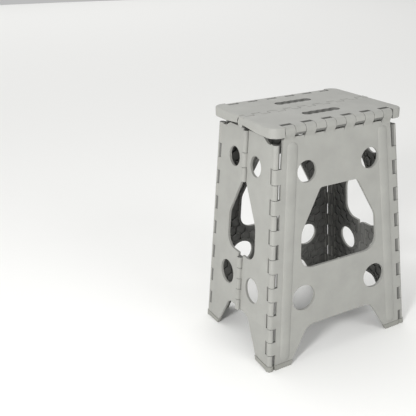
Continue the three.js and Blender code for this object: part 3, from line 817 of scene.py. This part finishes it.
def build_side(side, sizes, materials):
    half = SideHalf(side)
    foot_z = SHOE_HEIGHT + FIT
    corners = [
        (MID_NOTCH, SIDE_TOP_Z, PANEL_FILLET),
        (half.corner_x(SIDE_TOP_Z) - SHOULDER_UPPER[0], SIDE_TOP_Z, SHOULDER_UPPER[1]),
        (half.corner_x(SIDE_TOP_Z) - SHOULDER_LOWER[0], SIDE_CORNER_TOP_Z, SHOULDER_LOWER[1]),
        (half.half_at(SIDE_CORNER_TOP_Z), SIDE_CORNER_TOP_Z, 0),
        (half.half_at(foot_z), foot_z, 0),
        (arch_half(SIDE_ARCH, half.half_at, foot_z), foot_z, 0),
        (half_of(SIDE_ARCH, half.half_at), station_z(SIDE_ARCH), SIDE_ARCH[2]),
        (MID_NOTCH, station_z(SIDE_ARCH), 0),
    ]
    window = window_corners(SIDE_WINDOW, half.half_at)
    holes = [(half_of(hole, half.half_at), station_z(hole), hole[2]) for hole in SIDE_HOLES]
    through = 3 * SIDE_THICKNESS  # either way, so that a cut clears the plate

    def openings(grow):
        return merged([half.plate(rounded(inset(window, -grow)), through, through)] + [
            half.plate(circle(x, z, radius + grow), through, through) for x, z, radius in holes])

    panel = worked(half.plate(rounded(corners)), [("DIFFERENCE", openings(0))], materials)
    depths = sorted(-half.outward * (SIDE_THICKNESS + add) for add in (-sizes.side_pocket, PAST))
    span = ((0, 0), (half.corner_x(0), SIDE_TOP_Z))
    pockets = hex_field(sizes, *depths, span, "xz", half.lean)
    field = worked(pockets, [
        ("INTERSECT", half.plate(rounded(inset(corners, sizes.rim_width)), 2 * through)),
        ("DIFFERENCE", openings(sizes.rim_width)),
    ], materials)
    steps = [("DIFFERENCE", field)]

    # corner knuckles between the leg's, and a longer one at either end
    ranges = [(foot_z, CORNER_LOW - KNUCKLE_GAP), (CORNER_HIGH + KNUCKLE_GAP, SIDE_CORNER_TOP_Z)]
    ranges += [share_range(CORNER_LOW, CORNER_SHARE, k) for k in range(1, CORNER_KNUCKLES, 2)]
    for low, high in ranges:
        ends = (on_line(half.corner_foot, z) for z in (low, high))
        steps.append(("UNION", barrel(*ends, CORNER_RADIUS)))
        steps.append(("UNION", half.tab(half.corner_foot, low, high, -NOTCH - PAST)))
    for low, high in MID_KNUCKLES[side]:
        low, high = low + KNUCKLE_GAP, high - KNUCKLE_GAP
        ends = (on_line(half.mid_foot, z) for z in (low, high))
        steps.append(("UNION", barrel(*ends, MID_RADIUS)))
        steps.append(("UNION", half.tab(half.mid_foot, low, high, MID_NOTCH + PAST)))
    ends = (on_line(half.corner_foot, z)
            for z in (SHOE_HEIGHT + ROD_END, SIDE_CORNER_TOP_Z - ROD_END))
    steps.append(("DIFFERENCE", bore(*ends, ROD_RADIUS + FIT)))
    for low, high in (MID_UPPER, MID_LOWER):
        ends = (on_line(half.mid_foot, z) for z in (low + ROD_END, high - ROD_END))
        steps.append(("DIFFERENCE", bore(*ends, SIDE_ROD_RADIUS + FIT)))
    mesh = paint_inner_shade(worked(panel, steps, materials), half.lean.col[1].to_3d() * -half.outward)
    for foot in (half.corner_foot, half.mid_foot):
        paint_gap_shade(mesh, foot, (APEX - foot).normalized(), NOTCH)
    return mesh


# ---- half of the top ----
SLOT_Y = -TOP_DEPTH / 2 * SLOT_SHARE
CENTRE_SHARE = (TOP_LENGTH - 2 * CENTRE_END) / CENTRE_KNUCKLES
SLAB_END = -CENTRE_TIP - CENTRE_GAP
FRONT_EDGE = -TOP_HINGE.y - TOP_HINGE_RADIUS - NOTCH_GAP


def slot_outline():
    """Finger slot with a gently waved edge."""
    half = SLOT_WIDTH / 2
    straight = SLOT_LENGTH / 2 - half
    steps = SLOT_WAVES * WAVE_STEPS
    edge = []
    for k in range(steps + 1):
        ripple = SLOT_WAVE * (math.cos(2 * math.pi * k / WAVE_STEPS) - 1)
        edge.append((-straight + 2 * straight * k / steps, half + ripple))
    turns = [math.radians(80 - 10 * k) for k in range(17)]
    cap = [(straight + half * math.cos(t), half * math.sin(t)) for t in turns]
    loop = edge + cap + [(-x, -y) for x, y in edge] + [(-x, -y) for x, y in cap]
    return [Vector((x, y + SLOT_Y)) for x, y in loop]


def top_slab(sizes):
    """Half of the top with its three outer edges rounded over."""
    radius = sizes.round_over
    levels = [(SLAB_EASE, UNDERSIDE_Z), (0, UNDERSIDE_Z + SLAB_EASE)]
    for k in range(7):
        turn = math.pi / 2 * k / 6
        levels.append((radius * (1 - math.cos(turn)),
                       STOOL_HEIGHT - radius * (1 - math.sin(turn))))
    half_length, front = TOP_LENGTH / 2, -TOP_DEPTH / 2
    rings = []
    for back, z in levels:
        x, y, corner = half_length - back, front + back, TOP_CORNER_RADIUS - back
        plan = rounded([(-x, SLAB_END, 0), (-x, y, corner), (x, y, corner), (x, SLAB_END, 0)])
        rings.append([Vector((p.x, p.y, z)) for p in plan])
    return solid_from_rings(rings)


def box_prism(low, high, slot=OUTSIDE):
    plan = [Vector((low[0], low[1])), Vector((high[0], low[1])),
            Vector((high[0], high[1])), Vector((low[0], high[1]))]
    return prism(plan, low[2], high[2], "xy", slot=slot)


def centre_knuckle(low, high):
    """Knuckle of the centre hinge, flush above and round below, with a tail into the slab."""
    taper = math.atan((CENTRE_Z - UNDERSIDE_Z) / CENTRE_TAPER_RUN)
    root = CENTRE_RADIUS + CENTRE_GAP + PAST
    outline = [Vector((y, STOOL_HEIGHT - CENTRE_Z)) for y in (-root, CENTRE_TIP)]
    outline += [Vector(share) * CENTRE_RADIUS for share in CENTRE_SHOULDER]
    for k in range(21):
        turn = -(math.pi - taper) * k / 20
        outline.append(Vector((CENTRE_RADIUS * math.cos(turn), CENTRE_RADIUS * math.sin(turn))))
    outline.append(Vector((-root, -root * math.tan(taper))))
    return prism([p + Vector((0, CENTRE_Z)) for p in outline], low, high, "yz")


def build_top(sizes, centre_clearance, materials):
    half_length = TOP_LENGTH / 2
    strip = LEG_KNUCKLE_HALF + KNUCKLE_GAP + STRIP_GAP
    below, above = UNDERSIDE_Z - PAST, STOOL_HEIGHT + PAST
    # The walls of the strip cut and of the finger slot take the darker inner material: painted
    # shade in these recesses.
    steps = [
        ("DIFFERENCE", box_prism((-strip, -TOP_DEPTH, below), (strip, -FRONT_EDGE, above), PAINTED_SHADE)),
        ("DIFFERENCE", prism(slot_outline(), below, above, "xy", slot=PAINTED_SHADE)),
    ]

    # honeycomb under the skin, clear of the rim and of the frame round the slot
    floor_z = STOOL_HEIGHT - sizes.top_skin
    margin = sizes.rim_width
    low = (-half_length + margin, -FRONT_EDGE + margin)
    high = (half_length - margin, -CENTRE_RADIUS - CENTRE_GAP - margin)
    pockets = hex_field(sizes, below, floor_z, (low, high), "xy", None)
    frame_x, frame_y = SLOT_LENGTH / 2 + SLOT_FRAME, SLOT_WIDTH / 2 + SLOT_FRAME
    steps.append(("DIFFERENCE", worked(pockets, [
        ("INTERSECT", box_prism((*low, below - PAST), (*high, floor_z + PAST))),
        ("DIFFERENCE", box_prism((-frame_x, SLOT_Y - frame_y, below - 2 * PAST),
                                 (frame_x, SLOT_Y + frame_y, floor_z + 2 * PAST))),
    ], materials)))

    # the underside tapers up to the centre hinge
    relief = [Vector((-CENTRE_TAPER_RUN, UNDERSIDE_Z)), Vector((0, CENTRE_Z)),
              Vector((0, below)), Vector((-CENTRE_TAPER_RUN, below))]
    steps.append(("DIFFERENCE", prism(relief, -TOP_LENGTH, TOP_LENGTH, "yz")))

    # room for the other half's knuckles, then this half's own
    own = [(-half_length, -half_length + CENTRE_END)]
    free = [(half_length - CENTRE_END, half_length + PAST)]
    for k in range(CENTRE_KNUCKLES):
        start = -half_length + CENTRE_END + k * CENTRE_SHARE
        (own if k % 2 else free).append((start, start + CENTRE_SHARE))
    for start, end in free:
        ends = (Vector((x, 0, CENTRE_Z)) for x in (start, end))
        steps.append(("DIFFERENCE", bore(*ends, CENTRE_RADIUS + CENTRE_GAP)))
    for start, end in own:
        start = start if start == -half_length else start + KNUCKLE_GAP
        steps.append(("UNION", centre_knuckle(start, end - KNUCKLE_GAP)))

    for k in range(1, TOP_KNUCKLES, 2):
        start, end = share_range(-LEG_KNUCKLE_HALF, LEG_SHARE, k)
        ends = (Vector((x, TOP_HINGE.y, HINGE_Z)) for x in (start, end))
        steps.append(("UNION", barrel(*ends, TOP_HINGE_RADIUS, sides=40)))
        steps.append(("UNION", box_prism((start, TOP_HINGE.y, UNDERSIDE_Z),
                                         (end, -FRONT_EDGE + PAST, STOOL_HEIGHT))))
    ends = (Vector((x, TOP_HINGE.y, HINGE_Z)) for x in (-LEG_KNUCKLE_HALF, LEG_KNUCKLE_HALF))
    steps.append(("DIFFERENCE", bore(*ends, ROD_RADIUS + FIT)))
    reach = half_length - ROD_END
    ends = (Vector((x, 0, CENTRE_Z)) for x in (-reach, reach))
    steps.append(("DIFFERENCE", bore(*ends, ROD_RADIUS + centre_clearance)))
    mesh = paint_inner_shade(worked(top_slab(sizes), steps, materials), Vector((0, 0, -1)))
    paint_gap_shade(mesh, TOP_HINGE, Vector((1, 0, 0)), TOP_HINGE_RADIUS + NOTCH_GAP, strip + PAST)
    paint_gap_shade(mesh, Vector((0, 0, CENTRE_Z)), Vector((1, 0, 0)), CENTRE_RADIUS + CENTRE_GAP,
                half_length - PAST)
    return mesh


# ---- foot shoes ----
def shoe_corners(inner, outer, arch, half_at):
    return [(inner, SHOE_HEIGHT, SHOE_FILLET),
            (arch_half(arch, half_at, SHOE_DIP) - SHOE_END_PROUD, SHOE_DIP, 0),
            (outer, SHOE_DIP, 0), (outer, SHOE_HEIGHT, SHOE_FILLET)]


def floor_and_treads(sizes):
    """What is cut from a shoe: all below the floor, and the grooves of its sole."""
    reach = STOOL_HEIGHT
    below_floor = box_prism((-reach, -reach, SOLE_CUT_Z), (reach, reach, 0))
    half_groove = sizes.tread_width / 2
    count = math.ceil(TOP_LENGTH / sizes.tread_pitch)
    grooves = [box_prism((k * sizes.tread_pitch - half_groove, -reach, GROOVE_CUT_Z),
                         (k * sizes.tread_pitch + half_groove, reach, sizes.tread_depth))
               for k in range(-count, count + 1)]
    return [("DIFFERENCE", below_floor), ("DIFFERENCE", merged(grooves))]


def build_leg_shoe(side, sizes, materials):
    inner = arch_half(LEG_ARCH, leg_half, SHOE_HEIGHT) - SHOE_END_PROUD
    outline = rounded(shoe_corners(inner, leg_half(0), LEG_ARCH, leg_half))
    outline = [Vector((side * p.x, p.y)) for p in outline]
    sole = prism(outline, LEG_OUTER - SHOE_PROUD, LEG_INNER, "xz", LEG_FRAME)
    return worked(sole, floor_and_treads(sizes), materials)


def build_side_shoe(side, sizes, materials):
    half = SideHalf(side)
    inner = arch_half(SIDE_ARCH, half.half_at, SHOE_HEIGHT) - SHOE_END_PROUD
    outline = rounded(shoe_corners(inner, half.corner_x(0), SIDE_ARCH, half.half_at))
    ends = (on_line(half.corner_foot, z) for z in (SHOE_DIP, SHOE_HEIGHT))
    wrap = barrel(*ends, CORNER_RADIUS + SHOE_PROUD)
    return worked(half.plate(outline, SIDE_THICKNESS, SHOE_PROUD),
                  [("UNION", wrap), *floor_and_treads(sizes)], materials)


# ---- operators ----
REAR_SIDE = {"left": "right", "right": "left"}


def panel_materials(context):
    made = stool_materials(context.scene)
    return [made["polypropylene_outside"], made["polypropylene_inside_painted_shade"]]


class STOOL_OT_legs(bpy.types.Operator):
    """Build the two leg panels"""
    bl_idname = "stool.legs"
    bl_label = "Leg panels"

    def execute(self, context):
        sizes, materials = context.scene.stool_sizes, panel_materials(context)
        mesh = build_leg(sizes, materials)
        for end, copy in (("rear", on_rear(mesh)), ("front", mesh)):
            show(f"{end}_leg_panel", copy, f"{end}_leg", f"{end}_leg", materials,
                 sizes.edge_radius)
        return {"FINISHED"}


class STOOL_OT_sides(bpy.types.Operator):
    """Build the four side panel halves"""
    bl_idname = "stool.sides"
    bl_label = "Side panels"

    def execute(self, context):
        sizes, materials = context.scene.stool_sizes, panel_materials(context)
        for side in ("left", "right"):
            mesh = build_side(side, sizes, materials)
            for half, copy in ((f"side_{REAR_SIDE[side]}_rear", on_rear(mesh)),
                               (f"side_{side}_front", mesh)):
                show(f"{half}_panel", copy, half, half, materials,
                     sizes.edge_radius)
        return {"FINISHED"}


class STOOL_OT_top(bpy.types.Operator):
    """Build both halves of the top"""
    bl_idname = "stool.top"
    bl_label = "Top"

    def execute(self, context):
        sizes, materials = context.scene.stool_sizes, panel_materials(context)
        for half, clearance in (("top_front", FIT), ("top_rear", OPEN_FIT)):
            mesh = build_top(sizes, clearance, materials)
            if half == "top_rear":
                mesh.transform(HALF_TURN)
            show(f"{half}_panel", mesh, half, half, materials, sizes.edge_radius)
        return {"FINISHED"}


class STOOL_OT_shoes(bpy.types.Operator):
    """Build the eight foot shoes"""
    bl_idname = "stool.shoes"
    bl_label = "Foot shoes"

    def execute(self, context):
        sizes = context.scene.stool_sizes
        materials = [stool_materials(context.scene)["grip_plastic_foot"]]
        for side, turn in (("left", -1), ("right", 1)):
            other = REAR_SIDE[side]
            leg = build_leg_shoe(turn, sizes, materials)
            upright = build_side_shoe(side, sizes, materials)
            for mesh, node, body in (
                (on_rear(leg), f"rear_leg_shoe_{other}", "rear_leg"),
                (leg, f"front_leg_shoe_{side}", "front_leg"),
                (on_rear(upright), f"side_shoe_{other}_rear", f"side_{other}_rear"),
                (upright, f"side_shoe_{side}_front", f"side_{side}_front"),
            ):
                show(f"{node}_sole", mesh, body, node, materials, sizes.edge_radius)
        return {"FINISHED"}


class STOOL_OT_rods(bpy.types.Operator):
    """Build the eleven hinge rods"""
    bl_idname = "stool.rods"
    bl_label = "Hinge rods"

    def execute(self, context):
        materials = [stool_materials(context.scene)["drawn_steel_wire"]]

        def add(node, body, start, end, radius):
            along = (end - start).normalized()
            start, end = start + along * (ROD_END + FIT), end - along * (ROD_END + FIT)
            wire = barrel(start, end, radius, ROD_CHAMFER, ROD_SIDES)
            show(f"{node}_wire", wire, body, node, materials)

        def add_both_ends(name, side, start, end):
            """A rod of the front leg, and its copy on the rear leg."""
            for place, where, low, high in (
                ("front", side, start, end),
                ("rear", REAR_SIDE.get(side), half_turn(start), half_turn(end)),
            ):
                node = f"{name}_{place}_{where}" if where else f"{name}_{place}"
                add(node, f"{place}_leg", low, high, ROD_RADIUS)

        reach = LEG_KNUCKLE_HALF
        add_both_ends("top_rod", None,
                      *(Vector((x, TOP_HINGE.y, HINGE_Z)) for x in (-reach, reach)))
        for side in ("left", "right"):
            ends = (on_line(CORNER_FOOT[side], z) for z in (SHOE_HEIGHT, SIDE_CORNER_TOP_Z))
            add_both_ends("corner_rod", side, *ends)
            for name, span in (("upper", MID_UPPER), ("lower", MID_LOWER)):
                add(f"side_rod_{side}_{name}", f"side_{side}_front",
                    *(on_line(MID_FOOT[side], z) for z in span), SIDE_ROD_RADIUS)
        ends = (Vector((x, 0, CENTRE_Z)) for x in (-TOP_LENGTH / 2, TOP_LENGTH / 2))
        add("centre_rod", "top_front", *ends, ROD_RADIUS)
        return {"FINISHED"}


class STOOL_OT_stage(bpy.types.Operator):
    """Build the floor, lights and camera"""
    bl_idname = "stool.stage"
    bl_label = "Studio"

    def execute(self, context):
        scene = context.scene
        disc = prism(circle(0, 0, FLOOR_RADIUS_MM, 96), -FLOOR_DEPTH_MM, 0, "xy")
        floor = new_object("floor", disc, [stool_materials(scene)["rolled_matt_paint"]])
        floor.data.transform(Matrix.Scale(MM, 4))

        world = bpy.data.worlds.new("studio")
        world.use_nodes = True
        surround = world.node_tree.nodes["Background"]
        surround.inputs["Color"].default_value = (1, 1, 1, 1)
        surround.inputs["Strength"].default_value = SURROUND_STRENGTH
        scene.world = world

        middle = Vector((0, 0, STOOL_HEIGHT / 2)) * MM
        for name, place, size, power in LIGHTS:
            light = bpy.data.lights.new(name, "AREA")
            light.size = size
            light.energy = power
            lamp = bpy.data.objects.new(name, light)
            lamp.location = place
            lamp.rotation_euler = (middle - Vector(place)).to_track_quat("-Z", "Y").to_euler()
            scene.collection.objects.link(lamp)

        camera = bpy.data.objects.new("camera", bpy.data.cameras.new("camera"))
        camera.data.lens = CAMERA_LENS
        camera.data.shift_x, camera.data.shift_y = CAMERA_SHIFT
        level = Vector((math.cos(CAMERA_YAW), -math.sin(CAMERA_YAW), 0))
        ahead = Vector((math.sin(CAMERA_YAW), math.cos(CAMERA_YAW), 0))
        look = ahead * math.cos(CAMERA_PITCH) - Vector((0, 0, math.sin(CAMERA_PITCH)))
        right = level * math.cos(CAMERA_ROLL) + level.cross(look) * math.sin(CAMERA_ROLL)
        turned = Matrix((right, right.cross(look), -look)).transposed().to_4x4()
        camera.matrix_world = Matrix.Translation(CAMERA_PLACE) @ turned
        scene.collection.objects.link(camera)
        scene.camera = camera
        scene.view_settings.view_transform = "Standard"
        return {"FINISHED"}


class STOOL_PT_panel(bpy.types.Panel):
    """Sizes, colours and build steps of the stool"""
    bl_idname = "STOOL_PT_panel"
    bl_label = "Folding step stool"
    bl_space_type = "VIEW_3D"
    bl_region_type = "UI"
    bl_category = "Stool"

    def draw(self, context):
        for group in (context.scene.stool_sizes, context.scene.stool_colours):
            box = self.layout.box()
            for name in group.__annotations__:
                box.prop(group, name)
        for operator in OPERATORS:
            self.layout.operator(operator.bl_idname)


GROUPS = (StoolSizes, StoolColours)
OPERATORS = (STOOL_OT_legs, STOOL_OT_sides, STOOL_OT_top, STOOL_OT_shoes, STOOL_OT_rods,
             STOOL_OT_stage)


def register():
    for item in (*GROUPS, *OPERATORS, STOOL_PT_panel):
        bpy.utils.register_class(item)
    bpy.types.Scene.stool_sizes = PointerProperty(type=StoolSizes)
    bpy.types.Scene.stool_colours = PointerProperty(type=StoolColours)


def unregister():
    del bpy.types.Scene.stool_colours
    del bpy.types.Scene.stool_sizes
    for item in reversed((*GROUPS, *OPERATORS, STOOL_PT_panel)):
        bpy.utils.unregister_class(item)


def main():
    register()
    for build in (bpy.ops.stool.legs, bpy.ops.stool.sides, bpy.ops.stool.top,
                  bpy.ops.stool.shoes, bpy.ops.stool.rods, bpy.ops.stool.stage):
        build()


if __name__ == "__main__":
    main()
